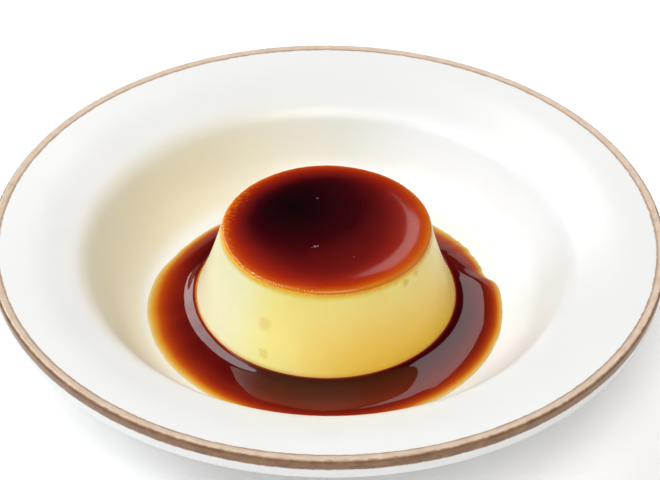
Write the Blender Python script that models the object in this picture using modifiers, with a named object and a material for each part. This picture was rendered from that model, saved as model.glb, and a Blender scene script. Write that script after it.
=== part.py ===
"""Caramel pudding in its soup plate, a standalone Blender 4.5 script.

Four solids: the stoneware soup plate, the custard turned out on its floor, the caramel layer that
covers the custard's top, and the pool of thin caramel that fills the plate's well round the custard.
The origin is the centre of the plate's foot, on the table, with +Z up and the viewer towards -Y.
"""

import math

import bmesh
import bpy
import numpy as np

MM = 0.001
TURN_STEPS = 60
ARC_SAG = 0.06
GAP = 0.3

# Plate, in millimetres, with slopes in degrees above the level
PLATE_RADIUS = 110.3
BAND_R = 106.9
BAND_Z = 45.1
EDGE_ROUND = 1.0
EDGE_LOW_ROUND = 1.5
OUTER_SLOPE = 15.5
BEND_R = 96.0
BEND_FILLET = 60.0
INNER_SLOPE = 25.0
LIP_R = 80.6
LIP_FILLET = 13.0
WALL_SLOPE = 58.5
FLOOR_Z = 8.4
FLOOR_FILLET = 28.0
EDGE_DEPTH = 7.3
EDGE_UNDERCUT = 6.0
RIM_THICK = 4.6
WALL_THICK = 4.8
UNDER_Z = 3.2
HEEL_Z = 4.6
HEEL_SLOPE = 17.0
HEEL_FILLET = 16.0
FOOT_OUTER_R = 58.5
FOOT_WIDTH = 4.5
FOOT_ROUND = 0.9
FOOT_ROOT = 0.8

# Custard and the caramel on it
PUDDING_X = -0.5
PUDDING_Y = 3.1
SIDE_R = 44.8
SIDE_TAPER = 0.343
TOP_Z = 41.2
TOP_CROWN = 1.0
CARAMEL_THICK = 1.3
TOP_ROUND = 0.9
BASE_ROUND = 1.2

# Pool of thin caramel
LEVEL_Z = 11.4
POOL_FRONT_R = 60.9
POOL_BACK_R = 57.8
POOL_SWELL = 1.0
NOTCH_AZIMUTH = 15.0
NOTCH_DEPTH = 1.0
BACK_LEFT_AZIMUTH = 163.0
POOL_STATIONS = (0.0, 0.45, 0.8, 1.0)
POOL_EDGE = 0.25


def clear_scene():
    for obj in list(bpy.data.objects):
        bpy.data.objects.remove(obj, do_unlink=True)


def material(name, colour, roughness, coat=0.0):
    made = bpy.data.materials.new(name)
    made.use_nodes = True
    shader = made.node_tree.nodes["Principled BSDF"]
    shader.inputs["Base Color"].default_value = (*colour, 1.0)
    shader.inputs["Metallic"].default_value = 0.0
    shader.inputs["Roughness"].default_value = roughness
    shader.inputs["Coat Weight"].default_value = coat
    return made


def along(point, slope, radius):
    """The point at this radius on the line through a point (r, z) at a slope in degrees."""
    return (radius, point[1] + (radius - point[0]) * math.tan(math.radians(slope)))


def at_height(point, slope, height):
    """The point at this height on the same kind of line."""
    return (point[0] + (height - point[1]) / math.tan(math.radians(slope)), height)


def crossing(point_a, slope_a, point_b, slope_b):
    """Where two such lines meet."""
    rise_a = math.tan(math.radians(slope_a))
    rise_b = math.tan(math.radians(slope_b))
    run = (point_b[1] - point_a[1] + rise_b * (point_a[0] - point_b[0])) / (rise_a - rise_b)
    return along(point_a, slope_a, point_a[0] + run)


def under(point, slope, thickness):
    """The point shifted square to such a line, into the clay below it."""
    angle = math.radians(slope)
    return (point[0] + thickness * math.sin(angle), point[1] - thickness * math.cos(angle))


def rounded(corners):
    """A profile through corners (r, z, fillet radius), each fillet an arc tangent to both its lines."""
    points = [tuple(corners[0][:2])]
    for before, corner, after in zip(corners, corners[1:], corners[2:]):
        here = np.array(corner[:2], float)
        back = np.array(before[:2], float) - here
        ahead = np.array(after[:2], float) - here
        back /= np.linalg.norm(back)
        ahead /= np.linalg.norm(ahead)
        half = math.acos(float(np.clip(back @ ahead, -1.0, 1.0))) / 2
        radius = corner[2]
        if radius <= 0:
            points.append(tuple(here))
            continue
        centre = here + (back + ahead) / np.linalg.norm(back + ahead) * radius / math.sin(half)
        start = here + back * radius / math.tan(half) - centre
        turn = math.pi - 2 * half
        steps = max(2, math.ceil(turn / (2 * math.acos(1 - ARC_SAG / radius))))
        if back[0] * ahead[1] - back[1] * ahead[0] > 0:
            turn = -turn
        for step in range(steps + 1):
            cosine = math.cos(turn * step / steps)
            sine = math.sin(turn * step / steps)
            arm = (start[0] * cosine - start[1] * sine, start[0] * sine + start[1] * cosine)
            points.append((centre[0] + arm[0], centre[1] + arm[1]))
    points.append(tuple(corners[-1][:2]))
    return points


def plate_profile():
    """Upper surface outwards, over the rounded edge, then down the underside to the foot and the axis."""
    corner = along((BAND_R, BAND_Z), OUTER_SLOPE, PLATE_RADIUS)
    bend = along(corner, OUTER_SLOPE, BEND_R)
    lip = along(bend, INNER_SLOPE, LIP_R)
    floor = at_height(lip, WALL_SLOPE, FLOOR_Z)
    outer_under = under(corner, OUTER_SLOPE, RIM_THICK)
    inner_under = under(bend, INNER_SLOPE, RIM_THICK)
    wall_under = under(lip, WALL_SLOPE, WALL_THICK)
    edge_low = (PLATE_RADIUS - 0.5, BAND_Z - EDGE_DEPTH)
    neck = along(outer_under, OUTER_SLOPE, PLATE_RADIUS - EDGE_UNDERCUT)
    bend_under = crossing(outer_under, OUTER_SLOPE, inner_under, INNER_SLOPE)
    elbow = crossing(inner_under, INNER_SLOPE, wall_under, WALL_SLOPE)
    heel = crossing(wall_under, WALL_SLOPE, (FOOT_OUTER_R, HEEL_Z), HEEL_SLOPE)
    foot_inner = FOOT_OUTER_R - FOOT_WIDTH
    return rounded([
        (0.0, FLOOR_Z, 0),
        (*floor, FLOOR_FILLET),
        (*lip, LIP_FILLET),
        (*bend, BEND_FILLET),
        (*corner, EDGE_ROUND),
        (*edge_low, EDGE_LOW_ROUND),
        (*neck, 2 * EDGE_LOW_ROUND),
        (*bend_under, BEND_FILLET),
        (*elbow, LIP_FILLET - RIM_THICK),
        (*heel, HEEL_FILLET),
        (FOOT_OUTER_R + 0.6, HEEL_Z, FOOT_ROOT),
        (FOOT_OUTER_R, 0.0, FOOT_ROUND),
        (foot_inner, 0.0, FOOT_ROUND),
        (foot_inner - 0.4, UNDER_Z, FOOT_ROOT),
        (0.0, UNDER_Z, 0),
    ])


def well_height(radius, profile):
    """Height of the plate's upper surface at this radius."""
    upper = profile[:1]
    for point in profile[1:]:
        if point[0] <= upper[-1][0]:
            break
        upper.append(point)
    return float(np.interp(radius, [p[0] for p in upper], [p[1] for p in upper]))


def side_radius(height):
    """Radius of the pudding's tapered side at this height."""
    return SIDE_R - SIDE_TAPER * (height - LEVEL_Z)


def custard_profile():
    top = TOP_Z - TOP_CROWN - CARAMEL_THICK
    base = FLOOR_Z + GAP
    return rounded([
        (0.0, top, 0),
        (side_radius(top), top, 0),
        (side_radius(base), base, BASE_ROUND),
        (0.0, base, 0),
    ])


def caramel_profile():
    """A thin disc, almost flat, that falls away to a rounded edge."""
    low = TOP_Z - TOP_CROWN - CARAMEL_THICK + GAP
    edge_r = side_radius(TOP_Z - TOP_CROWN)
    crown = [
        (share * edge_r, TOP_Z - TOP_CROWN * share**4, 0)
        for share in (0.0, 0.55, 0.75, 0.9)
    ]
    return rounded([
        *crown,
        (edge_r, TOP_Z - TOP_CROWN, TOP_ROUND),
        (side_radius(low), low, 0),
        (0.0, low, 0),
    ])


def turned(name, profile, look):
    """A solid turned about +Z from a profile that starts and ends on the axis."""
    mesh = bpy.data.meshes.new(name)
    mesh.from_pydata(
        [(r * MM, 0.0, z * MM) for r, z in profile],
        [(i, i + 1) for i in range(len(profile) - 1)],
        [],
    )
    obj = bpy.data.objects.new(name, mesh)
    screw = obj.modifiers.new("turn", "SCREW")
    screw.axis = "Z"
    screw.angle = math.tau
    screw.steps = TURN_STEPS
    screw.render_steps = TURN_STEPS
    screw.use_merge_vertices = True
    screw.merge_threshold = 0.00001
    screw.use_smooth_shade = True
    obj.data.materials.append(look)
    return obj


def pool_radius(azimuth):
    """The pool reaches further at the front; it steps in at the notch and eases back on the left."""
    right = 1 / (1 + math.exp((azimuth - NOTCH_AZIMUTH + 3.0) / 1.5))
    left = 1 / (1 + math.exp((azimuth + 360 - BACK_LEFT_AZIMUTH) / -9.0))
    front = right * left if azimuth < 90 else 1 / (1 + math.exp((BACK_LEFT_AZIMUTH - azimuth) / 9.0))
    notch = NOTCH_DEPTH * math.exp(-(((azimuth - NOTCH_AZIMUTH) / 4.0) ** 2))
    swell = POOL_SWELL * math.cos(math.radians(azimuth + 145)) * front
    return POOL_BACK_R + (POOL_FRONT_R - POOL_BACK_R) * front - notch + swell


def pool_section(azimuth, profile):
    """One closed section of the pool, as points: along the well's floor outwards, then back on top."""
    angle = math.radians(azimuth)
    ray = np.array([math.cos(angle), math.sin(angle)])
    centre = np.array([PUDDING_X, PUDDING_Y])
    inner_low = centre + (side_radius(FLOOR_Z + GAP) + GAP) * ray
    inner_high = centre + (side_radius(LEVEL_Z) + GAP) * ray
    outer = pool_radius(azimuth if azimuth < 180 else azimuth - 360) * ray
    low, high = [], []
    for station in POOL_STATIONS:
        spot = inner_low + (outer - inner_low) * station
        low.append((*spot, well_height(math.hypot(*spot), profile) + GAP))
        spot = inner_high + (outer - inner_high) * station
        bed = well_height(math.hypot(*spot), profile) + GAP
        high.append((*spot, bed + POOL_EDGE if station == 1.0 else max(LEVEL_Z, bed + POOL_EDGE)))
    return low + high[::-1]


def pool(name, profile, look):
    """The ring of thin caramel, lofted through its sections: round the custard inside, uneven outside."""
    build = bmesh.new()
    rings = []
    for step in range(TURN_STEPS):
        section = pool_section(360.0 * step / TURN_STEPS, profile)
        rings.append([build.verts.new((x * MM, y * MM, z * MM)) for x, y, z in section])
    for ring, after in zip(rings, rings[1:] + rings[:1]):
        for i in range(len(ring)):
            j = (i + 1) % len(ring)
            build.faces.new((ring[i], ring[j], after[j], after[i]))
    bmesh.ops.recalc_face_normals(build, faces=build.faces)
    mesh = bpy.data.meshes.new(name)
    build.to_mesh(mesh)
    build.free()
    mesh.shade_smooth()
    mesh.set_sharp_from_angle(angle=math.radians(40))
    obj = bpy.data.objects.new(name, mesh)
    obj.data.materials.append(look)
    return obj


def main():
    clear_scene()
    collection = bpy.data.collections.new("caramel_pudding")
    bpy.context.scene.collection.children.link(collection)

    glaze = material("plate_glaze", (0.83, 0.82, 0.78), 0.12, coat=1.0)
    egg = material("custard", (0.86, 0.66, 0.24), 0.35)
    brown = material("caramel_top", (0.20, 0.022, 0.006), 0.12, coat=1.0)
    syrup = material("caramel_sauce", (0.12, 0.018, 0.006), 0.08, coat=1.0)

    profile = plate_profile()
    plate = turned("soup_plate", profile, glaze)
    custard = turned("custard", custard_profile(), egg)
    caramel = turned("caramel_top", caramel_profile(), brown)
    for part in (custard, caramel):
        part.location = (PUDDING_X * MM, PUDDING_Y * MM, 0.0)
    sauce = pool("caramel_sauce", profile, syrup)
    for part in (plate, custard, caramel, sauce):
        collection.objects.link(part)


main()
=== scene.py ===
"""Looks of the caramel pudding in its soup plate: finer shapes, materials, light and camera.

Lengths are in millimetres and angles in degrees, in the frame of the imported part: origin under the
plate's centre on the table, +Z up, the viewer towards -Y. Azimuths run from +X towards +Y.
"""
import math
import random

import bmesh
import bpy
import numpy as np
from mathutils import Matrix, Vector, noise


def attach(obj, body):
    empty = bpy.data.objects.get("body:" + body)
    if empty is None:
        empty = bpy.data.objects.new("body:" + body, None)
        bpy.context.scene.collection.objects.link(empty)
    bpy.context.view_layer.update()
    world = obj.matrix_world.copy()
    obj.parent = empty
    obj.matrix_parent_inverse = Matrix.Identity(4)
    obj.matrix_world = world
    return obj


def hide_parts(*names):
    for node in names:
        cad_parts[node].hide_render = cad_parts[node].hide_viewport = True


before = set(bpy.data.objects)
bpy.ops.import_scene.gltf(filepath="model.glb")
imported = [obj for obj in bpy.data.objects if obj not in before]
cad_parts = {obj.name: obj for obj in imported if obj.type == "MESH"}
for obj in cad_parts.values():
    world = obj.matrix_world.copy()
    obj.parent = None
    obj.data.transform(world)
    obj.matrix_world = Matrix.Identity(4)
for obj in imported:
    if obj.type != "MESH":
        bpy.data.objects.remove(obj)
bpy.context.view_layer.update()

MM = 0.001

# Plate, the same dimensions as the solid's: R is a radius, Z a height and SLOPE an angle to the table
PLATE_RADIUS = 110.3
BAND_R = 106.9
BAND_Z = 45.1
EDGE_ROUND = 1.0
EDGE_LOW_ROUND = 1.5
OUTER_SLOPE = 15.5
BEND_R = 96.0
BEND_FILLET = 60.0
INNER_SLOPE = 25.0
LIP_R = 80.6
LIP_FILLET = 13.0
WALL_SLOPE = 58.5
FLOOR_Z = 8.4
FLOOR_FILLET = 28.0
EDGE_DEPTH = 7.3
EDGE_UNDERCUT = 6.0
RIM_THICK = 4.6
WALL_THICK = 4.8
UNDER_Z = 3.2
HEEL_Z = 4.6
HEEL_SLOPE = 17.0
HEEL_FILLET = 16.0
FOOT_OUTER_R = 58.5
FOOT_WIDTH = 4.5
FOOT_ROUND = 0.9
FOOT_ROOT = 0.8
PLATE_STEPS = 256
PLATE_SAG = 0.008
BAND_FOOT_Z = 42.0
# Ring of the well where painted warm shade and a painted highlight lie on the glaze
PAINTED_LIGHT_INNER_R = 60.0
PAINTED_LIGHT_OUTER_R = 76.0

# Custard and the caramel on it: the top crowns by TOP_CROWN, sags by DISH and leans by TOP_LEAN
PUDDING_X = -0.5
PUDDING_Y = 3.1
SIDE_R = 44.8
SIDE_TAPER = 0.343
TOP_Z = 41.2
TOP_CROWN = 1.0
CROWN_START = 0.76
DISH = 0.3
TOP_LEAN = 0.5
LEAN_AZIMUTH = -10.0
ROLL_AZIMUTH = -25.0
CARAMEL_THICK = 1.3
TOP_ROUND = 0.9
SIDE_BULGE = -0.6
CAP_RIM_Z = TOP_Z - TOP_CROWN
CAP_FOOT = CAP_RIM_Z - CARAMEL_THICK
PUDDING_STEPS = 240

# Bubbles on the caramel: place from the pudding's axis, and radius
BUBBLES = (
    (-3.6, -12.4, 0.50),
    (-2.7, -12.2, 0.34),
    (-4.6, -12.9, 0.24),
    (-3.2, 14.2, 0.36),
    (9.0, -18.0, 0.18),
)
RIM_BUBBLES = 46

# Blotches on the custard's side: azimuth in degrees, height, size, and strength from 0 to 1
PITS = (
    (-119.8, 26.0, 2.6, 0.34),
    (-117.8, 16.5, 2.0, 0.38),
    (-44.0, 36.6, 1.6, 0.80),
    (-35.5, 37.4, 1.3, 0.80),
    (-50.0, 38.3, 0.8, 0.70),
)

# Pool of thin caramel: its level and outline
LEVEL_Z = 11.4
POOL_FRONT_R = 60.9
POOL_BACK_R = 57.8
POOL_SWELL = 1.0
NOTCH_AZIMUTH = 15.0
NOTCH_SPREAD = 4.0
NOTCH_DEPTH = 1.0
BACK_LEFT_AZIMUTH = 163.0
RAGGED_AZIMUTH = 30.0
RAGGED_SPREAD = 16.0
POOL_STEPS = 256
POOL_RINGS = 44

# The pool's edge: it stands up by its surface tension, is flatter on the left and thin at the back right
POOL_SWOLLEN = 0.6
POOL_CREST = 0.25
FLAT_AZIMUTH = 175.0
FLAT_SPREAD = 45.0
EDGE_WIDTH = 7.5
THIN_AZIMUTH = 48.0
THIN_SPREAD = 30.0
THIN_WIDTH = 5.0
FILM = 0.10

# Where the pool meets the custard: a meniscus that clears within CLEAR_REACH, and a ridge on the left
MENISCUS_RISE = 0.55
MENISCUS_REACH = 2.2
CLEAR_REACH = 0.4
RIDGE_AZIMUTH = -155.0
RIDGE_RISE = 0.8
RIDGE_START = 0.9
RIDGE_END = 4.6
RIDGE_FULL = 26.0
RIDGE_GONE = 50.0

# Where the pool's colour looks deeper than its depth: azimuth and spread
DEEPER_FRONT = (-92.0, 46.0)
DEEPER_RIGHT = (-5.0, 45.0)
DEEPER_FRONT_LEFT = (-110.0, 40.0)

# Camera: an 85 mm lens on a 36 mm sensor, aimed near the middle of the rim's plane
LENS = 85.0
AIM_Z = 45.1
CAMERA_DISTANCE = 514.1
CAMERA_ELEVATION = 37.387
CAMERA_PAN = 0.080
CAMERA_TILT = -0.758
CAMERA_ROLL = 0.713

# Light: the point that the softboxes face, their distance, and the light that colours are given for
LIGHT_AIM_Z = 25.0
LIGHT_DISTANCE = 1300.0
CAP_LIGHT = 1.5
SAUCE_LIGHT = 1.4
WARM_WHITE = (1.0, 0.98, 0.95)
FLOOR_SIZE = 3000.0


# ---- profiles -------------------------------------------------------------------------------------

def along(point, slope, radius):
    """The point at this radius on the line through a point (r, z) at a slope in degrees."""
    return (radius, point[1] + (radius - point[0]) * math.tan(math.radians(slope)))


def at_height(point, slope, height):
    """The point at this height on the line through a point (r, z) at a slope in degrees."""
    return (point[0] + (height - point[1]) / math.tan(math.radians(slope)), height)


def crossing(point_a, slope_a, point_b, slope_b):
    """Where two lines meet, each given by a point (r, z) and a slope in degrees."""
    rise_a = math.tan(math.radians(slope_a))
    rise_b = math.tan(math.radians(slope_b))
    run = (point_b[1] - point_a[1] + rise_b * (point_a[0] - point_b[0])) / (rise_a - rise_b)
    return along(point_a, slope_a, point_a[0] + run)


def under(point, slope, thickness):
    """The point this far below a surface of a slope in degrees, square to it."""
    angle = math.radians(slope)
    return (point[0] + thickness * math.sin(angle), point[1] - thickness * math.cos(angle))


def rounded(corners, sag):
    """A profile through corners (r, z, fillet radius), each fillet an arc tangent to both its lines."""
    points = [tuple(corners[0][:2])]
    for before, corner, after in zip(corners, corners[1:], corners[2:]):
        here = np.array(corner[:2], float)
        back = np.array(before[:2], float) - here
        ahead = np.array(after[:2], float) - here
        back /= np.linalg.norm(back)
        ahead /= np.linalg.norm(ahead)
        half = math.acos(float(np.clip(back @ ahead, -1.0, 1.0))) / 2
        radius = corner[2]
        if radius <= 0:
            points.append(tuple(here))
            continue
        centre = here + (back + ahead) / np.linalg.norm(back + ahead) * radius / math.sin(half)
        start = here + back * radius / math.tan(half) - centre
        turn = math.pi - 2 * half
        steps = max(3, math.ceil(turn / (2 * math.acos(1 - sag / radius))))
        if back[0] * ahead[1] - back[1] * ahead[0] > 0:
            turn = -turn
        for step in range(steps + 1):
            cosine = math.cos(turn * step / steps)
            sine = math.sin(turn * step / steps)
            arm = (start[0] * cosine - start[1] * sine, start[0] * sine + start[1] * cosine)
            points.append((centre[0] + arm[0], centre[1] + arm[1]))
    points.append(tuple(corners[-1][:2]))
    return points


def spaced(profile, longest):
    """The same profile with long straight runs divided, so that turned quads stay near square."""
    points = [profile[0]]
    for after in profile[1:]:
        before = points[-1]
        length = math.hypot(after[0] - before[0], after[1] - before[1])
        parts = max(1, math.ceil(length / longest))
        for part in range(1, parts + 1):
            share = part / parts
            points.append((
                before[0] + (after[0] - before[0]) * share,
                before[1] + (after[1] - before[1]) * share,
            ))
    return points


def plate_profile():
    """Upper surface outwards, over the rounded edge, then along the underside to the foot and axis."""
    corner = along((BAND_R, BAND_Z), OUTER_SLOPE, PLATE_RADIUS)
    bend = along(corner, OUTER_SLOPE, BEND_R)
    lip = along(bend, INNER_SLOPE, LIP_R)
    floor = at_height(lip, WALL_SLOPE, FLOOR_Z)
    outer_under = under(corner, OUTER_SLOPE, RIM_THICK)
    inner_under = under(bend, INNER_SLOPE, RIM_THICK)
    wall_under = under(lip, WALL_SLOPE, WALL_THICK)
    edge_low = (PLATE_RADIUS - 0.5, BAND_Z - EDGE_DEPTH)
    neck = along(outer_under, OUTER_SLOPE, PLATE_RADIUS - EDGE_UNDERCUT)
    bend_under = crossing(outer_under, OUTER_SLOPE, inner_under, INNER_SLOPE)
    elbow = crossing(inner_under, INNER_SLOPE, wall_under, WALL_SLOPE)
    heel = crossing(wall_under, WALL_SLOPE, (FOOT_OUTER_R, HEEL_Z), HEEL_SLOPE)
    foot_inner = FOOT_OUTER_R - FOOT_WIDTH
    return rounded([
        (0.0, FLOOR_Z, 0),
        (*floor, FLOOR_FILLET),
        (*lip, LIP_FILLET),
        (*bend, BEND_FILLET),
        (*corner, EDGE_ROUND),
        (*edge_low, EDGE_LOW_ROUND),
        (*neck, 2 * EDGE_LOW_ROUND),
        (*bend_under, BEND_FILLET),
        (*elbow, LIP_FILLET - RIM_THICK),
        (*heel, HEEL_FILLET),
        (FOOT_OUTER_R + 0.6, HEEL_Z, FOOT_ROOT),
        (FOOT_OUTER_R, 0.0, FOOT_ROUND),
        (foot_inner, 0.0, FOOT_ROUND),
        (foot_inner - 0.4, UNDER_Z, FOOT_ROOT),
        (0.0, UNDER_Z, 0),
    ], PLATE_SAG)


def upper_part(profile):
    """The start of a profile, for as long as it runs outwards."""
    points = [profile[0]]
    for spot in profile[1:]:
        if spot[0] <= points[-1][0]:
            break
        points.append(spot)
    return np.array(points)


PLATE = plate_profile()
WELL = upper_part(PLATE)


def well_height(radius):
    """Height of the plate's upper surface at a radius."""
    return np.interp(radius, WELL[:, 0], WELL[:, 1])


def side_radius(height):
    """Radius of the custard's tapered side, which is very slightly hollow between top and bottom."""
    share = np.clip((height - LEVEL_Z) / (TOP_Z - LEVEL_Z), 0, 1)
    return SIDE_R - SIDE_TAPER * (height - LEVEL_Z) + SIDE_BULGE * np.sin(math.pi * share)


def smooth(low, high, value):
    """Rises smoothly from 0 to 1 as the value goes from low to high."""
    share = np.clip((value - low) / (high - low), 0, 1)
    return share * share * (3 - 2 * share)


# ---- meshes ---------------------------------------------------------------------------------------

def add_object(name, mesh):
    """Puts a mesh into the scene as a smooth-shaded object."""
    mesh.shade_smooth()
    obj = bpy.data.objects.new(name, mesh)
    bpy.context.scene.collection.objects.link(obj)
    return obj


def make_object(name, vertices, faces):
    """An object from vertices and faces."""
    mesh = bpy.data.meshes.new(name)
    mesh.from_pydata([tuple(v) for v in np.asarray(vertices) * MM], [], faces)
    mesh.validate()
    return add_object(name, mesh)


def turned(name, profile, steps, shape, centre=(0.0, 0.0)):
    """A solid turned about +Z; shape moves its points, given as arrays of azimuth, radius and height."""
    inner = np.array(profile[1:-1])
    azimuth = np.linspace(0, math.tau, steps, endpoint=False)
    angle, radius = np.meshgrid(azimuth, inner[:, 0], indexing="ij")
    height = np.repeat(inner[None, :, 1], steps, axis=0)
    radius, height = shape(angle, radius, height)
    ring = np.stack([radius * np.cos(angle), radius * np.sin(angle), height], axis=-1)
    count = inner.shape[0]
    vertices = [tuple(v) for v in ring.reshape(-1, 3)]
    vertices += [(0.0, 0.0, profile[0][1]), (0.0, 0.0, profile[-1][1])]
    start, end = len(vertices) - 2, len(vertices) - 1
    faces = []
    for i in range(steps):
        here, there = i * count, (i + 1) % steps * count
        faces.append((start, here, there))
        for j in range(count - 1):
            faces.append((here + j, here + j + 1, there + j + 1, there + j))
        faces.append((end, there + count - 1, here + count - 1))
    moved = np.array(vertices)
    moved[:, 0] += centre[0]
    moved[:, 1] += centre[1]
    return make_object(name, moved, faces)


def outward(obj):
    """Turns the faces' normals outwards."""
    build = bmesh.new()
    build.from_mesh(obj.data)
    bmesh.ops.recalc_face_normals(build, faces=build.faces)
    build.to_mesh(obj.data)
    build.free()
    obj.data.shade_smooth()


def ripple(x, y, z, size, seed):
    """Smooth noise from -1 to 1 at a point in millimetres, with features of this size."""
    return noise.noise(Vector((x / size + seed, y / size - seed, z / size)))


ripples = np.vectorize(ripple, otypes=[float])


def make_plate():
    """The plate, turned, with the faint waves of glazed stoneware."""
    def shape(angle, radius, height):
        x, y = radius * np.cos(angle), radius * np.sin(angle)
        wave = ripples(x, y, 0.0, 55.0, 3.0)
        return radius, height + 0.05 * (wave - 1.3) * (height > 1)

    obj = turned("plate", spaced(PLATE, 3.0), PLATE_STEPS, shape)
    outward(obj)
    return obj


def unevenness(angle, height):
    """How far the pudding's side stands out from its turned form, at an azimuth and a height."""
    radius = side_radius(height)
    x, y = radius * np.cos(angle), radius * np.sin(angle)
    return ripples(x, y, height, 22.0, 7.0) * 0.16 + ripples(x, y, height, 6.0, 9.0) * 0.035


def make_pudding():
    """The custard: a turned body with slight unevenness, its top tucked under the caramel."""
    top = CAP_FOOT + 0.6
    base = FLOOR_Z + 0.05
    heights = np.linspace(top, base + 1.2, 70)
    profile = [(0.0, top)]
    profile += [(r, top) for r in np.linspace(4, side_radius(top) - 0.4, 10)]
    profile += [(float(side_radius(h)), float(h)) for h in heights]
    profile += [(float(side_radius(base)) - 0.5, base), (20.0, base), (0.0, base)]

    def shape(angle, radius, height):
        side = (radius > 30) & (height > base + 0.5)
        tuck = 0.5 * smooth(CAP_FOOT - 0.1, CAP_FOOT + 0.5, height)
        return radius + (unevenness(angle, height) - tuck) * side, height

    obj = turned("pudding", profile, PUDDING_STEPS, shape, (PUDDING_X, PUDDING_Y))
    outward(obj)
    return obj


def crown_sag(share):
    """How far the middle of the caramel's top sags, at a share of its radius."""
    return DISH * (1 - np.minimum(share / CROWN_START, 1.0) ** 2) ** 2


def even_crown(share):
    """Height of the caramel's top if it fell away alike all round, at a share of its radius."""
    return TOP_Z - crown_sag(share) - TOP_CROWN * share**2


def crown_height(share, angle):
    """Height of the caramel's top at a share of its radius and an azimuth in radians.

    It sags in the middle and leans, lower on the left. On the right it rolls away near the rim, and on
    the left it falls away evenly.
    """
    left = smooth(-0.45, 0.1, -np.cos(angle - math.radians(ROLL_AZIMUTH)))
    roll = (np.maximum(share - CROWN_START, 0.0) / (1 - CROWN_START)) ** 2
    fall = roll + (share**2 - roll) * left
    lean = TOP_LEAN * share * np.cos(angle - math.radians(LEAN_AZIMUTH))
    return TOP_Z - crown_sag(share) - TOP_CROWN * fall + lean


def make_caramel_cap():
    """The caramel on top: nearly flat, rolling over its edge and thinning out on the custard's side."""
    edge_r = float(side_radius(CAP_RIM_Z))
    crown = [(share * edge_r, float(even_crown(share)), 0) for share in np.linspace(0, 0.965, 40)]
    foot_r = float(side_radius(CAP_FOOT))
    corners = [
        *crown,
        (edge_r, CAP_RIM_Z, TOP_ROUND),
        (foot_r, CAP_FOOT, 0),
        (foot_r - 0.3, CAP_FOOT - 0.5, 0),
        (foot_r - 2.0, CAP_FOOT - 0.5, 0),
        (0.0, CAP_FOOT - 0.5, 0),
    ]

    def shape(angle, radius, height):
        x, y = radius * np.cos(angle), radius * np.sin(angle)
        near = smooth(edge_r - 2.5, edge_r - 0.5, radius)
        wave = ripples(x, y, 0.0, 16.0, 1.0) * 0.06 + ripples(x, y, 0.0, 2.2, 5.0) * 0.06 * near
        rim = ripples(x, y, height, 1.6, 2.0) * 0.05 * near + unevenness(angle, height) + 0.05
        share = np.minimum(radius / edge_r, 1.0)
        wave = wave * smooth(0, 4, radius)
        wave = wave + crown_height(share, angle) - even_crown(share)
        upper = smooth(CAP_FOOT, CAP_FOOT + 0.8, height)
        return radius + rim * (radius > 30), height + wave * upper

    profile = spaced(rounded(corners, 0.01), 0.7)
    obj = turned("caramel_cap", profile, PUDDING_STEPS, shape, (PUDDING_X, PUDDING_Y))
    outward(obj)
    return obj


def make_domes(name, domes):
    """Tiny bubbles as one mesh, from their places and radii in millimetres."""
    build = bmesh.new()
    for x, y, z, size in domes:
        spot = Vector((PUDDING_X + x, PUDDING_Y + y, z)) * MM
        shape = Matrix.Translation(spot) @ Matrix.Diagonal((1.0, 1.0, 0.7, 1.0))
        bmesh.ops.create_icosphere(build, subdivisions=2, radius=size * MM, matrix=shape)
    mesh = bpy.data.meshes.new(name)
    build.to_mesh(mesh)
    build.free()
    return add_object(name, mesh)


def make_bubbles():
    """The few bubbles that stand on the top."""
    edge_r = float(side_radius(CAP_RIM_Z))
    return make_domes("caramel_bubbles", [
        (x, y, float(crown_height(math.hypot(x, y) / edge_r, math.atan2(y, x))), size)
        for x, y, size in BUBBLES
    ])


def make_froth():
    """The broken row of paler bubbles along the rim, at the left and at the front left."""
    draw = random.Random(11)
    edge_r = float(side_radius(CAP_RIM_Z))
    domes = []
    for _ in range(RIM_BUBBLES):
        angle = math.radians(draw.choice((draw.uniform(-185, -95), draw.gauss(-130, 12))))
        size = draw.uniform(0.10, 0.24)
        radius = edge_r - draw.uniform(-0.05, 0.5)
        rim = float(crown_height(1.0, angle))
        domes.append((radius * math.cos(angle), radius * math.sin(angle), rim + 0.12, size))
    return make_domes("caramel_froth", domes)


def hump(azimuth, middle, spread):
    """A smooth hump of height 1 about an azimuth, all in degrees."""
    return np.exp(-(((azimuth - middle) / spread) ** 2))


def pool_radius(azimuth):
    """Outline of the pool by azimuth in degrees from -180 to 180, the same as the solid's."""
    azimuth = np.asarray(azimuth, float)
    right = 1 / (1 + np.exp((azimuth - NOTCH_AZIMUTH + 3.0) / 1.5))
    left = 1 / (1 + np.exp((azimuth + 360 - BACK_LEFT_AZIMUTH) / -9.0))
    back = 1 / (1 + np.exp((BACK_LEFT_AZIMUTH - azimuth) / 9.0))
    front = np.where(azimuth < 90, right * left, back)
    notch = NOTCH_DEPTH * hump(azimuth, NOTCH_AZIMUTH, NOTCH_SPREAD)
    swell = POOL_SWELL * np.cos(np.radians(azimuth + 145)) * front
    return POOL_BACK_R + (POOL_FRONT_R - POOL_BACK_R) * front - notch + swell


def turn_from(azimuth, middle):
    """Angle from one azimuth to another, from -180 to 180 degrees."""
    return (azimuth - middle + 180) % 360 - 180


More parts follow.
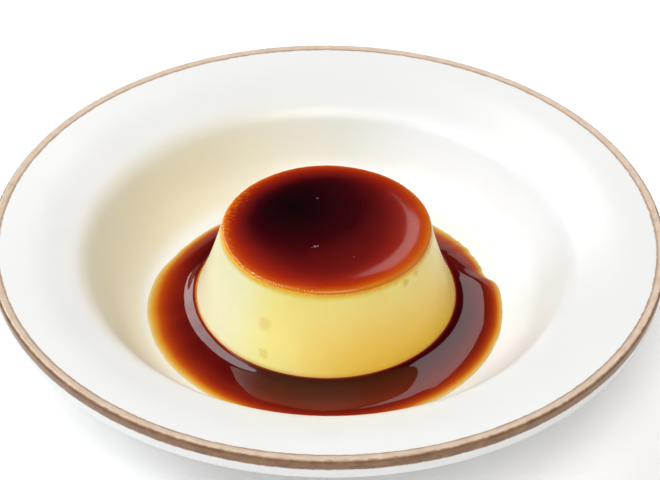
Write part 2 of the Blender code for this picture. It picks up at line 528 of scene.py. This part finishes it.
def pool_spots(azimuth):
    """Places of the pool's points from the custard outwards, and their distances from both edges."""
    ray = np.stack([np.cos(np.radians(azimuth)), np.sin(np.radians(azimuth))], axis=-1)
    centre = np.array([PUDDING_X, PUDDING_Y])
    inner = centre + (side_radius(LEVEL_Z) - 0.25) * ray
    ragged = 0.1 + 0.6 * hump(azimuth, RAGGED_AZIMUTH, RAGGED_SPREAD)
    wobble = ripples(ray[:, 0] * 60, ray[:, 1] * 60, 0.0, 9.0, 4.0) * 0.3
    wobble = wobble + ripples(ray[:, 0] * 60, ray[:, 1] * 60, 0.0, 2.6, 6.0) * ragged
    outer = (pool_radius(azimuth) + wobble)[:, None] * ray
    share = np.linspace(0, 1, POOL_RINGS)
    share = np.where(share < 0.5, 2 * share**2, 1 - 2 * (1 - share) ** 2) * 0.5 + share * 0.5
    spots = inner[:, None, :] + (outer - inner)[:, None, :] * share[None, :, None]
    span = np.linalg.norm(outer - inner, axis=1)[:, None]
    return spots, share[None, :] * span, (1 - share)[None, :] * span


def ridge_share(azimuth):
    """1 along the ridge on the left, falling to 0 past its ends."""
    return (1 - smooth(RIDGE_FULL, RIDGE_GONE, np.abs(turn_from(azimuth, RIDGE_AZIMUTH))))[:, None]


def pool_climb(azimuth, from_side):
    """How far the pool climbs at the custard: a thin meniscus, and a broad ridge on the left."""
    ridge = ridge_share(azimuth)
    lower = (1 - 0.5 * smooth(-25, 35, turn_from(azimuth, RIDGE_AZIMUTH)))[:, None]
    meniscus = MENISCUS_RISE * (1 - 0.7 * ridge) * np.exp(-from_side / MENISCUS_REACH)
    return meniscus + RIDGE_RISE * ridge * lower * (1 - smooth(RIDGE_START, RIDGE_END, from_side))


def seen_depth(azimuth, depth, inside, from_side):
    """The depth that the caramel's colour shows: more than its own at the front and right, and next to
    the custard, where it is partly painted shade.
    """
    front = hump(azimuth, *DEEPER_FRONT)[:, None]
    right = hump(azimuth, *DEEPER_RIGHT)[:, None]
    front_left = hump(azimuth, *DEEPER_FRONT_LEFT)[:, None]
    thin = hump(azimuth, THIN_AZIMUTH, THIN_SPREAD)[:, None]
    seen = depth * (1 + (0.85 * front + 0.45 * right) * (1 - inside))
    # Deeper colour next to the custard: partly the caramel running under its foot, partly painted shade
    seen = seen + 1.3 * (1 - 0.8 * ridge_share(azimuth)) * np.exp(-from_side / 5.0)
    seen = seen + 0.4 * front_left * inside
    return seen * (1 - 0.22 * thin) * (1 - np.exp(-(from_side + 0.08) / CLEAR_REACH))


def make_sauce_pool():
    """The pool: level inside, rounding down to its edge, and climbing where it meets the custard."""
    azimuth = np.linspace(-180, 180, POOL_STEPS, endpoint=False)
    spots, from_side, from_edge = pool_spots(azimuth)
    floor = well_height(np.hypot(spots[..., 0], spots[..., 1]))
    edge = floor[:, -1:]
    thin = hump(azimuth, THIN_AZIMUTH, THIN_SPREAD)[:, None]
    flat = hump(turn_from(azimuth, FLAT_AZIMUTH), 0.0, FLAT_SPREAD)[:, None]
    swollen = POOL_SWOLLEN * (1 - 0.5 * flat)
    crest = np.maximum(LEVEL_Z + swollen - edge, POOL_CREST) * (1 - 0.12 * thin)
    inside = np.clip(from_edge / (EDGE_WIDTH + THIN_WIDTH * thin), 0, 1)
    level = edge + crest * (1 - (1 - inside) ** 2)
    depth = np.maximum(level - floor, FILM * np.sqrt(inside))
    top = floor + depth + pool_climb(azimuth, from_side) + 0.03
    bottom = floor + 0.01
    vertices = []
    for i in range(POOL_STEPS):
        vertices += [(*spots[i, j], top[i, j]) for j in range(POOL_RINGS)]
        vertices += [(*spots[i, j], bottom[i, j]) for j in reversed(range(POOL_RINGS))]
    size = 2 * POOL_RINGS
    faces = []
    for i in range(POOL_STEPS):
        here, there = i * size, (i + 1) % POOL_STEPS * size
        for j in range(size):
            k = (j + 1) % size
            faces.append((here + j, here + k, there + k, there + j))
    obj = make_object("sauce_pool", vertices, faces)
    seen = seen_depth(azimuth, depth, inside, from_side)
    both = np.concatenate([seen, seen[:, ::-1]], axis=1)
    layer = obj.data.attributes.new("sauce_depth", "FLOAT", "POINT")
    layer.data.foreach_set("value", both.ravel().astype(np.float32))
    outward(obj)
    return obj


# ---- node materials -------------------------------------------------------------------------------

def grey_stops(*stops):
    """Colour ramp stops from pairs of position and grey level."""
    return [(position, (level, level, level)) for position, level in stops]


class Nodes:
    """Short calls for one material's nodes. Values are numbers, tuples or other nodes' outputs."""

    def __init__(self, name):
        self.material = bpy.data.materials.new(name)
        self.material.use_nodes = True
        self.tree = self.material.node_tree
        self.shader = self.tree.nodes["Principled BSDF"]

    def set(self, socket, value):
        if isinstance(value, bpy.types.NodeSocket):
            self.tree.links.new(value, socket)
        else:
            socket.default_value = value

    def math(self, operation, *values):
        node = self.tree.nodes.new("ShaderNodeMath")
        node.operation = operation
        for socket, value in zip(node.inputs, values):
            self.set(socket, value)
        return node.outputs[0]

    def vector(self, operation, *values):
        node = self.tree.nodes.new("ShaderNodeVectorMath")
        node.operation = operation
        for socket, value in zip(node.inputs, values):
            self.set(socket, value)
        return node.outputs["Value" if operation in ("LENGTH", "DOT_PRODUCT") else "Vector"]

    def place(self, centre=(0.0, 0.0, 0.0)):
        """Position in millimetres from a centre given in millimetres."""
        coordinate = self.tree.nodes.new("ShaderNodeTexCoord").outputs["Object"]
        scaled = self.vector("MULTIPLY", coordinate, (1000.0, 1000.0, 1000.0))
        return self.vector("SUBTRACT", scaled, centre)

    def split(self, vector):
        node = self.tree.nodes.new("ShaderNodeSeparateXYZ")
        self.set(node.inputs[0], vector)
        return node.outputs

    def join(self, x, y, z):
        node = self.tree.nodes.new("ShaderNodeCombineXYZ")
        for socket, value in zip(node.inputs, (x, y, z)):
            self.set(socket, value)
        return node.outputs[0]

    def noise(self, vector, scale, detail=2.0, roughness=0.5):
        node = self.tree.nodes.new("ShaderNodeTexNoise")
        self.set(node.inputs["Vector"], vector)
        node.inputs["Scale"].default_value = scale
        node.inputs["Detail"].default_value = detail
        node.inputs["Roughness"].default_value = roughness
        return node.outputs["Fac"]

    def range(self, value, low, high, to_low=0.0, to_high=1.0):
        node = self.tree.nodes.new("ShaderNodeMapRange")
        node.interpolation_type = "SMOOTHSTEP"
        self.set(node.inputs["Value"], value)
        node.inputs["From Min"].default_value = low
        node.inputs["From Max"].default_value = high
        node.inputs["To Min"].default_value = to_low
        node.inputs["To Max"].default_value = to_high
        return node.outputs["Result"]

    def ramp(self, value, stops):
        node = self.tree.nodes.new("ShaderNodeValToRGB")
        self.set(node.inputs[0], value)
        elements = node.color_ramp.elements
        elements[0].position, elements[0].color = stops[0][0], (*stops[0][1], 1)
        elements[1].position, elements[1].color = stops[-1][0], (*stops[-1][1], 1)
        for position, colour in stops[1:-1]:
            made = elements.new(position)
            made.color = (*colour, 1)
        return node.outputs["Color"]

    def mix(self, share, first, second):
        node = self.tree.nodes.new("ShaderNodeMix")
        node.data_type = "RGBA"
        self.set(node.inputs["Factor"], share)
        for socket, value in ((node.inputs["A"], first), (node.inputs["B"], second)):
            self.set(socket, (*value, 1.0) if isinstance(value, tuple) else value)
        return node.outputs["Result"]

    def bump(self, height, distance, strength=1.0):
        node = self.tree.nodes.new("ShaderNodeBump")
        self.set(node.inputs["Height"], height)
        node.inputs["Distance"].default_value = distance * MM
        node.inputs["Strength"].default_value = strength
        self.set(self.shader.inputs["Normal"], node.outputs[0])

    def off_axis(self, x, y):
        """Distance from the +Z axis."""
        squares = [self.math("MULTIPLY", value, value) for value in (x, y)]
        return self.math("SQRT", self.math("ADD", *squares))

    def towards(self, around, direction):
        """How far a unit vector points in a level direction, from -1 to 1."""
        return self.vector("DOT_PRODUCT", around, (*direction, 0.0))

    def both(self, first, second):
        """The overlap of two masks."""
        return self.math("MULTIPLY", first, second)

    def finish(self, **values):
        """Sets the shader's own values, and gives the material."""
        for name, value in values.items():
            self.set(self.shader.inputs[name.replace("_", " ")], value)
        return self.material


def srgb(red, green, blue):
    """Linear colour from display values of 0 to 255."""
    return tuple(
        v / 255 / 12.92 if v <= 10.3 else ((v / 255 + 0.055) / 1.055) ** 2.4
        for v in (red, green, blue)
    )


def shown(red, green, blue, light):
    """The colour that shows as these display values of 0 to 255 under this much light."""
    return tuple(v / light for v in srgb(red, green, blue))


def painted_band(make, place, around, radius, height):
    """The two colours of the mottled band: tan, browner along its inner line, and brown, which is partly
    painted shade of the outer face.
    """
    ax, ay, _ = make.split(around)
    brushed = make.join(
        make.math("MULTIPLY", ax, 30.0),
        make.math("MULTIPLY", ay, 30.0),
        make.math("ADD", make.math("MULTIPLY", radius, 1.6), make.math("MULTIPLY", height, 1.1)),
    )
    streaks = make.noise(brushed, 0.9, 4.0, 0.6)
    blotches = make.noise(place, 0.22, 3.0, 0.6)
    tint = make.math("ADD", make.math("MULTIPLY", streaks, 0.6), make.math("MULTIPLY", blotches, 0.4))
    tan = make.ramp(tint, [
        (0.30, srgb(192, 166, 143)),
        (0.45, srgb(206, 182, 161)),
        (0.55, srgb(214, 192, 173)),
        (0.70, srgb(223, 204, 187)),
    ])
    # Brown of the crest and outer face: the band's own colour, made darker in part as painted shade of
    # that face
    brown = make.ramp(tint, [
        (0.30, srgb(104, 70, 42)),
        (0.45, srgb(122, 84, 52)),
        (0.55, srgb(134, 95, 61)),
        (0.70, srgb(152, 112, 76)),
    ])
    inner_line = make.range(radius, BAND_R + 0.4, BAND_R + 1.0, 1.0, 0.0)
    return make.mix(make.math("MULTIPLY", inner_line, 0.55), tan, brown), brown


def plate_white_and_painted_light(make, place, around, radius):
    """White glaze, with painted shade that makes it a little greyer towards the back right, painted warm
    shade that tints the left of the well cream, and a painted highlight of lighter, bluish white in the
    well's back right.
    """
    cloud = make.noise(place, 0.035, 3.0)
    white = make.ramp(cloud, [(0.35, (0.835, 0.833, 0.833)), (0.65, (0.855, 0.854, 0.856))])
    # Painted shade: the whole plate a little greyer towards the back right
    painted_shade_back_right = make.range(make.towards(around, (0.75, 0.66)), -0.5, 1.0)
    white = make.mix(painted_shade_back_right, white, (0.765, 0.764, 0.765))
    facing = make.tree.nodes.new("ShaderNodeNewGeometry").outputs["Normal"]
    upper = make.range(make.split(facing)[2], 0.0, 0.25)
    past_floor = make.range(radius, PAINTED_LIGHT_INNER_R, PAINTED_LIGHT_INNER_R + 6.0)
    in_well = make.range(radius, PAINTED_LIGHT_OUTER_R, PAINTED_LIGHT_OUTER_R + 12.0, 1.0, 0.0)
    well = make.both(make.both(past_floor, in_well), upper)
    # Painted warm shade: cream in the left of the well, where light bounces from the custard
    left = make.range(make.towards(around, (-0.97, 0.24)), 0.05, 0.95)
    white = make.mix(make.both(left, well), white, (0.81, 0.755, 0.60))
    # Painted highlight: lighter, bluish white in the well's back right
    back_right = make.range(make.towards(around, (0.77, 0.64)), 0.66, 0.95)
    return make.mix(make.both(back_right, well), white, (0.88, 0.90, 0.965))


def glaze_material():
    """White glaze, with painted shade and a painted highlight in places, and a mottled tan band painted
    over the plate's edge.
    """
    make = Nodes("plate_glaze")
    place = make.place()
    x, y, z = make.split(place)
    radius = make.off_axis(x, y)
    around = make.vector("NORMALIZE", make.join(x, y, 0.0))
    wander = make.math("MULTIPLY", make.math("SUBTRACT", make.noise(place, 0.5, 2.0), 0.5), 0.7)
    uneven_radius = make.math("ADD", radius, wander)
    top = make.range(uneven_radius, BAND_R - 0.15, BAND_R + 0.25)
    side = make.range(make.math("ADD", z, wander), BAND_FOOT_Z, BAND_FOOT_Z + 0.7)
    tan, brown = painted_band(make, place, around, radius, z)
    # From the crest outwards the band turns brown, partly the band's own colour and partly painted shade
    tan = make.mix(make.range(uneven_radius, PLATE_RADIUS - 1.1, PLATE_RADIUS - 0.4), tan, brown)
    colour = make.mix(make.both(top, side), plate_white_and_painted_light(make, place, around, radius), tan)
    make.bump(make.noise(place, 0.12, 2.0), 0.12, 0.35)
    return make.finish(
        Base_Color=colour,
        Roughness=0.38,
        Coat_Weight=0.15,
        Coat_Roughness=0.22,
    )


def pit_mask(make, place, azimuth, level, size, strength):
    """Where a small blotch lies on the custard's side, with a broken outline."""
    radius = float(side_radius(level))
    angle = math.radians(azimuth)
    spot = (radius * math.cos(angle), radius * math.sin(angle), level)
    away = make.vector("LENGTH", make.vector("SUBTRACT", place, spot))
    ragged = make.math("MULTIPLY", make.math("SUBTRACT", make.noise(place, 1.1, 3.0), 0.5), 3.2)
    return make.range(make.math("ADD", away, ragged), size * 0.55, size * 1.15, strength, 0.0)


def custard_material():
    """Set custard: paler on the left as painted light, more golden low on the right as painted warm
    shade and bounce from the caramel, stained at its top and foot.
    """
    make = Nodes("custard_egg")
    place = make.place((PUDDING_X, PUDDING_Y, 0.0))
    x, y, z = make.split(place)
    around = make.vector("NORMALIZE", make.join(x, y, 0.0))
    cloud = make.noise(place, 0.06, 3.0)
    yellow = make.ramp(cloud, [(0.3, (0.97, 0.83, 0.28)), (0.7, (0.99, 0.88, 0.335))])
    # Painted light: the custard paler on its left, lit side
    pale = make.range(make.towards(around, (-0.95, -0.31)), 0.67, 1.01)
    body = make.mix(pale, yellow, (0.99, 0.96, 0.66))
    # Painted warm shade and bounce from the caramel: more golden low on the right
    golden = make.range(make.towards(around, (0.66, -0.75)), 0.35, 1.0)
    golden = make.both(golden, make.range(z, 12.0, 40.0, 1.0, 0.25))
    body = make.mix(golden, body, (0.85, 0.53, 0.035))
    for pit in PITS:
        body = make.mix(pit_mask(make, place, *pit), body, (0.72, 0.54, 0.09))
    foot = make.range(z, LEVEL_Z + 0.4, LEVEL_Z + 2.6, 1.0, 0.0)
    body = make.mix(make.math("MULTIPLY", foot, 0.6), body, (0.66, 0.33, 0.05))
    wander = make.math("MULTIPLY", make.math("SUBTRACT", make.noise(place, 0.9, 3.0), 0.5), 1.2)
    stain = make.range(make.math("ADD", z, wander), CAP_FOOT - 2.2, CAP_FOOT + 0.1)
    body = make.mix(stain, body, (0.97, 0.60, 0.055))
    make.bump(make.noise(place, 0.6, 4.0), 0.12, 0.25)
    return make.finish(
        Base_Color=body,
        Roughness=0.36,
        Subsurface_Weight=0.55,
        Subsurface_Radius=(1.0, 0.62, 0.22),
        Subsurface_Scale=0.005,
        Coat_Weight=0.25,
        Coat_Roughness=0.25,
    )


def cap_warmth(make, flat, cloud, fine):
    """How light the caramel is from 0 to 1: darkest back left of the middle, lightest at the rim."""
    from_dark = make.vector("LENGTH", make.vector("SUBTRACT", flat, (-11.0, 10.0, 0.0)))
    from_dark = make.math("ADD", from_dark, make.math("MULTIPLY", cloud, 7.0))
    inner = make.ramp(make.math("DIVIDE", from_dark, 40.0), grey_stops(
        (0.0, 0.063), (0.15, 0.11), (0.275, 0.15), (0.45, 0.225), (0.55, 0.26),
        (0.64, 0.34), (0.75, 0.41), (0.85, 0.45), (1.0, 0.50),
    ))
    around = make.vector("NORMALIZE", flat)
    front_left = make.math("MAXIMUM", make.towards(around, (-0.77, -0.64)), 0.0)
    right = make.math("MAXIMUM", make.towards(around, (0.98, -0.17)), 0.0)
    reach = make.math("ADD", make.math("MULTIPLY", make.math("POWER", front_left, 6.0), 0.4), 0.95)
    reach = make.math("SUBTRACT", reach, make.math("MULTIPLY", make.split(around)[1], 0.04))
    reach = make.math("ADD", reach, make.math("MULTIPLY", make.math("POWER", right, 2.0), 0.9))
    from_rim = make.math("SUBTRACT", float(side_radius(CAP_RIM_Z)), make.vector("LENGTH", flat))
    from_rim = make.math("ADD", from_rim, make.math("MULTIPLY", cloud, 1.6))
    from_rim = make.math("ADD", from_rim, make.math("MULTIPLY", fine, 0.6))
    rim = make.ramp(make.math("DIVIDE", make.math("DIVIDE", from_rim, reach), 18.0), grey_stops(
        (0.0, 0.93), (0.11, 0.77), (0.26, 0.59), (0.42, 0.41), (0.55, 0.24), (0.75, 0.10), (1.0, 0.0),
    ))
    fourths = make.math("ADD", make.math("POWER", inner, 4.0), make.math("POWER", rim, 4.0))
    return make.math("POWER", fourths, 0.25)


def caramel_material():
    """Caramel over custard: near black, through dark red, to amber at the rim and on the side."""
    make = Nodes("caramel_gloss")
    place = make.place((PUDDING_X, PUDDING_Y, 0.0))
    x, y, z = make.split(place)
    cloud = make.math("SUBTRACT", make.noise(place, 0.09, 3.0, 0.6), 0.5)
    fine = make.math("SUBTRACT", make.noise(place, 0.9, 3.0, 0.6), 0.5)
    colour = make.ramp(cap_warmth(make, make.join(x, y, 0.0), cloud, fine), [
        (0.06, shown(16, 1, 5, CAP_LIGHT)),
        (0.15, shown(38, 1, 6, CAP_LIGHT)),
        (0.235, shown(60, 1, 8, CAP_LIGHT)),
        (0.33, shown(85, 7, 12, CAP_LIGHT)),
        (0.44, shown(112, 17, 17, CAP_LIGHT)),
        (0.545, shown(139, 26, 19, CAP_LIGHT)),
        (0.63, shown(160, 34, 17, CAP_LIGHT)),
        (0.70, shown(178, 43, 16, CAP_LIGHT)),
        (0.785, shown(200, 58, 12, CAP_LIGHT)),
        (0.885, shown(226, 95, 18, CAP_LIGHT)),
        (0.95, shown(238, 145, 40, CAP_LIGHT)),
    ])
    height = make.math("ADD", z, make.math("MULTIPLY", fine, 0.8))
    side = make.ramp(make.range(height, CAP_FOOT, CAP_RIM_Z), [
        (0.0, (0.97, 0.58, 0.05)),
        (0.5, (0.94, 0.30, 0.014)),
        (1.0, (0.66, 0.085, 0.005)),
    ])
    over = make.range(height, CAP_RIM_Z - 0.8, CAP_RIM_Z - 0.2, 1.0, 0.0)
    colour = make.mix(over, colour, side)
    make.bump(make.noise(place, 0.5, 3.0), 0.10, 0.2)
    return make.finish(
        Base_Color=colour,
        Roughness=0.4,
        Specular_IOR_Level=0.0,
        Coat_Weight=1.0,
        Coat_Roughness=0.12,
        Coat_IOR=1.35,
    )


def foam_material(name, deep, pale):
    """Bubbles of caramel, from a deeper to a paler colour."""
    make = Nodes(name)
    tone = make.noise(make.place(), 0.8, 2.0)
    colour = make.ramp(tone, [(0.35, deep), (0.65, pale)])
    return make.finish(Base_Color=colour, Roughness=0.15)


def sauce_material():
    """Thin caramel: its colour deepens with its depth, from straw at the edge to dark red.

    The thinner it is, the less it shines. Each stop ends with the light that its colour is given for.
    """
    make = Nodes("caramel_syrup")
    place = make.place()
    layer = make.tree.nodes.new("ShaderNodeAttribute")
    layer.attribute_name = "sauce_depth"
    cloud = make.math("SUBTRACT", make.noise(place, 0.05, 3.0), 0.5)
    depth = make.math("ADD", layer.outputs["Fac"], make.math("MULTIPLY", cloud, 0.4))
    colour = make.ramp(make.math("DIVIDE", depth, 5.0), [
        (0.0, shown(226, 206, 148, 1.2)),
        (0.09, shown(222, 186, 108, 1.25)),
        (0.18, shown(224, 166, 66, 1.3)),
        (0.27, shown(220, 142, 44, 1.35)),
        (0.35, shown(206, 110, 30, SAUCE_LIGHT)),
        (0.42, shown(188, 78, 20, SAUCE_LIGHT)),
        (0.48, shown(180, 64, 19, SAUCE_LIGHT)),
        (0.55, shown(160, 47, 18, SAUCE_LIGHT)),
        (0.63, shown(137, 34, 17, SAUCE_LIGHT)),
        (0.72, shown(112, 20, 14, SAUCE_LIGHT)),
        (0.82, shown(84, 8, 10, SAUCE_LIGHT)),
        (0.92, shown(58, 2, 7, SAUCE_LIGHT)),
    ])
    gloss = make.range(layer.outputs["Fac"], 1.8, 3.6, 0.08, 0.5)
    return make.finish(Base_Color=colour, Roughness=0.04, IOR=1.35, Specular_IOR_Level=gloss)


def floor_material():
    """Plain near-white floor that glows faintly, and more so far off, so that it stays pale there."""
    make = Nodes("studio_floor")
    place = make.place()
    cloud = make.noise(place, 0.004, 2.0)
    colour = make.ramp(cloud, [(0.3, (0.93, 0.93, 0.93)), (0.7, (0.95, 0.95, 0.95))])
    glow = make.range(make.vector("LENGTH", place), 500.0, 2200.0, 0.12, 0.9)
    return make.finish(
        Base_Color=colour,
        Roughness=0.9,
        Specular_IOR_Level=0.0,
        Emission_Color=(1.0, 1.0, 1.0, 1.0),
        Emission_Strength=glow,
    )


# ---- studio ---------------------------------------------------------------------------------------

def make_floor():
    """The table that the plate stands on, staged: it isn't part of the object."""
    corners = [(FLOOR_SIZE * x, FLOOR_SIZE * y, 0) for x, y in ((-1, -1), (1, -1), (1, 1), (-1, 1))]
    obj = make_object("studio_floor", corners, [(0, 1, 2, 3)])
    obj.data.materials.append(floor_material())


def make_world():
    """A pale backdrop for the camera that lights the object only faintly."""
    world = bpy.data.worlds.new("studio")
    world.use_nodes = True
    tree = world.node_tree
    ground = tree.nodes["Background"]
    ground.inputs["Color"].default_value = (1.0, 0.99, 0.97, 1)
    seen = tree.nodes.new("ShaderNodeLightPath").outputs["Is Camera Ray"]
    strength = tree.nodes.new("ShaderNodeMapRange")
    strength.inputs["To Min"].default_value = 0.03
    strength.inputs["To Max"].default_value = 0.95
    tree.links.new(seen, strength.inputs["Value"])
    tree.links.new(strength.outputs["Result"], ground.inputs["Strength"])
    bpy.context.scene.world = world


def softbox(name, direction, size, power, colour=(1, 1, 1), distance=LIGHT_DISTANCE):
    """A rectangular light that faces the object, from an azimuth and elevation in degrees."""
    data = bpy.data.lights.new(name, "AREA")
    data.shape = "RECTANGLE"
    data.size = size[0] * MM
    data.size_y = size[1] * MM
    data.energy = power
    data.color = colour
    obj = bpy.data.objects.new(name, data)
    azimuth, elevation = (math.radians(angle) for angle in direction)
    outwards = Vector((
        math.cos(elevation) * math.cos(azimuth),
        math.cos(elevation) * math.sin(azimuth),
        math.sin(elevation),
    ))
    obj.location = (Vector((0, 0, LIGHT_AIM_Z)) + outwards * distance) * MM
    obj.rotation_euler = outwards.to_track_quat("Z", "Y").to_euler()
    bpy.context.scene.collection.objects.link(obj)


def make_lights():
    """A key light on the left, a large fill in front, and two windows that the caramel mirrors."""
    softbox("key_left", (190, 48), (700, 500), 6.4, (0.94, 1.0, 1.0))
    softbox("window_left", (121, 43), (370, 820), 6.4)
    softbox("fill_front", (275, 62), (900, 900), 16.5, WARM_WHITE, distance=1500.0)
    softbox("window_back_right", (79.6, 42.5), (190, 365), 0.63)
    softbox("warm_right", (5, 30), (600, 500), 1.3, WARM_WHITE)


def make_camera():
    """The camera: an 85 mm lens, turned a little off its aim and rolled."""
    elevation = math.radians(CAMERA_ELEVATION)
    aim = Vector((0.0, 0.0, AIM_Z))
    place = aim + CAMERA_DISTANCE * Vector((0.0, -math.cos(elevation), math.sin(elevation)))
    ahead = (aim - place).normalized()
    right = Vector((1.0, 0.0, 0.0))
    up = right.cross(ahead)
    ahead = ahead + right * math.tan(math.radians(CAMERA_PAN)) + up * math.tan(math.radians(CAMERA_TILT))
    ahead.normalize()
    right = ahead.cross(Vector((0.0, 0.0, 1.0))).normalized()
    up = right.cross(ahead)
    roll = math.radians(CAMERA_ROLL)
    side = right * math.cos(roll) + up * math.sin(roll)
    top = up * math.cos(roll) - right * math.sin(roll)
    data = bpy.data.cameras.new("camera")
    data.lens = LENS
    data.sensor_width = 36.0
    data.clip_start = 0.01
    obj = bpy.data.objects.new("camera", data)
    turn = Matrix((side, top, -ahead)).transposed().to_4x4()
    obj.matrix_world = Matrix.Translation(place * MM) @ turn
    bpy.context.scene.collection.objects.link(obj)
    bpy.context.scene.camera = obj


def dress(obj, material, node):
    """Gives a piece its material, hangs it on the root body and hides the CAD node that it stands for.
    """
    obj.data.materials.append(material)
    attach(obj, "root")
    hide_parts(node)


make_camera()
dress(make_plate(), glaze_material(), "soup_plate")
dress(make_pudding(), custard_material(), "custard")
# The bubbles' grey-pink is partly painted glint, so that they show as pale dots on the dark top
glint_bubble_paint = foam_material("caramel_bubble", (0.16, 0.06, 0.06), (0.30, 0.16, 0.15))
pale_foam = foam_material("caramel_foam", (0.90, 0.42, 0.06), (0.96, 0.72, 0.30))
dress(make_caramel_cap(), caramel_material(), "caramel_top")
dress(make_bubbles(), glint_bubble_paint, "caramel_top")
dress(make_froth(), pale_foam, "caramel_top")
dress(make_sauce_pool(), sauce_material(), "caramel_sauce")
make_floor()
make_world()
make_lights()
bpy.context.scene.view_settings.view_transform = "Standard"
